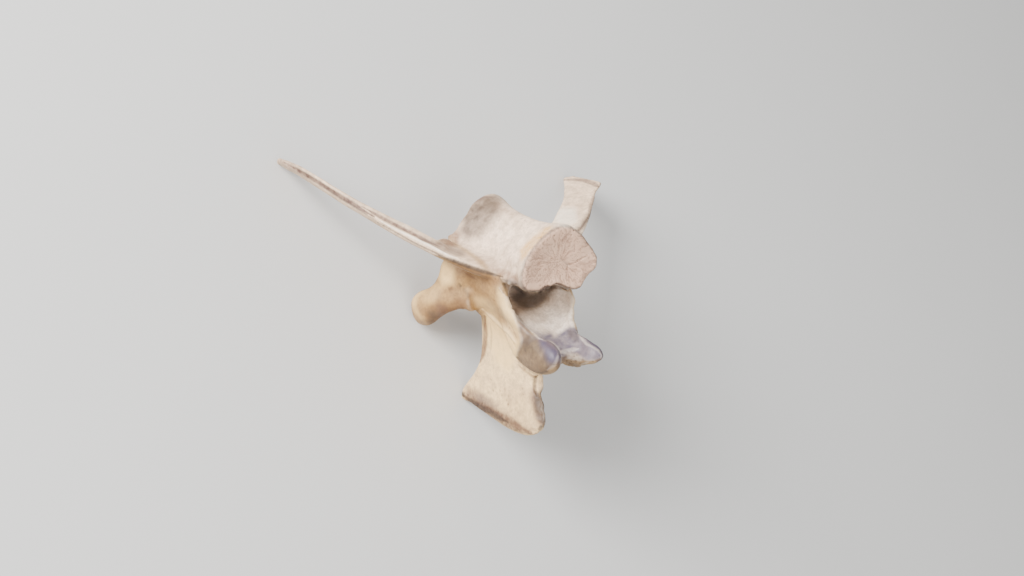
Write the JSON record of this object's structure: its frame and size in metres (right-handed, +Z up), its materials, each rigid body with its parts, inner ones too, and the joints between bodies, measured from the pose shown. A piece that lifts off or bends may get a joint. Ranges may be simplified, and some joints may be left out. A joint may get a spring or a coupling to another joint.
{
  "type": "deer lumbar vertebra",
  "caption": "Dry deer lumbar vertebra: keeled body, open canal, tall spinous plate, swept transverse blades and paired articular processes, resting front end down.",
  "frame": {"origin": "middle of the bottom of the bone's box, on the surface it rests on", "axes": "+Z up, which is mostly towards the tail end; +X towards the tip of the spinous process; -Y towards the animal's right side, the side nearest in the picture"},
  "size_m": [0.0952, 0.121, 0.0636],
  "materials": {
    "bone": "matt dry bone, cream with brown and pink stains"
  },
  "bodies": {
    "root": {"vertebra": "bone"}
  },
  "joints": []
}
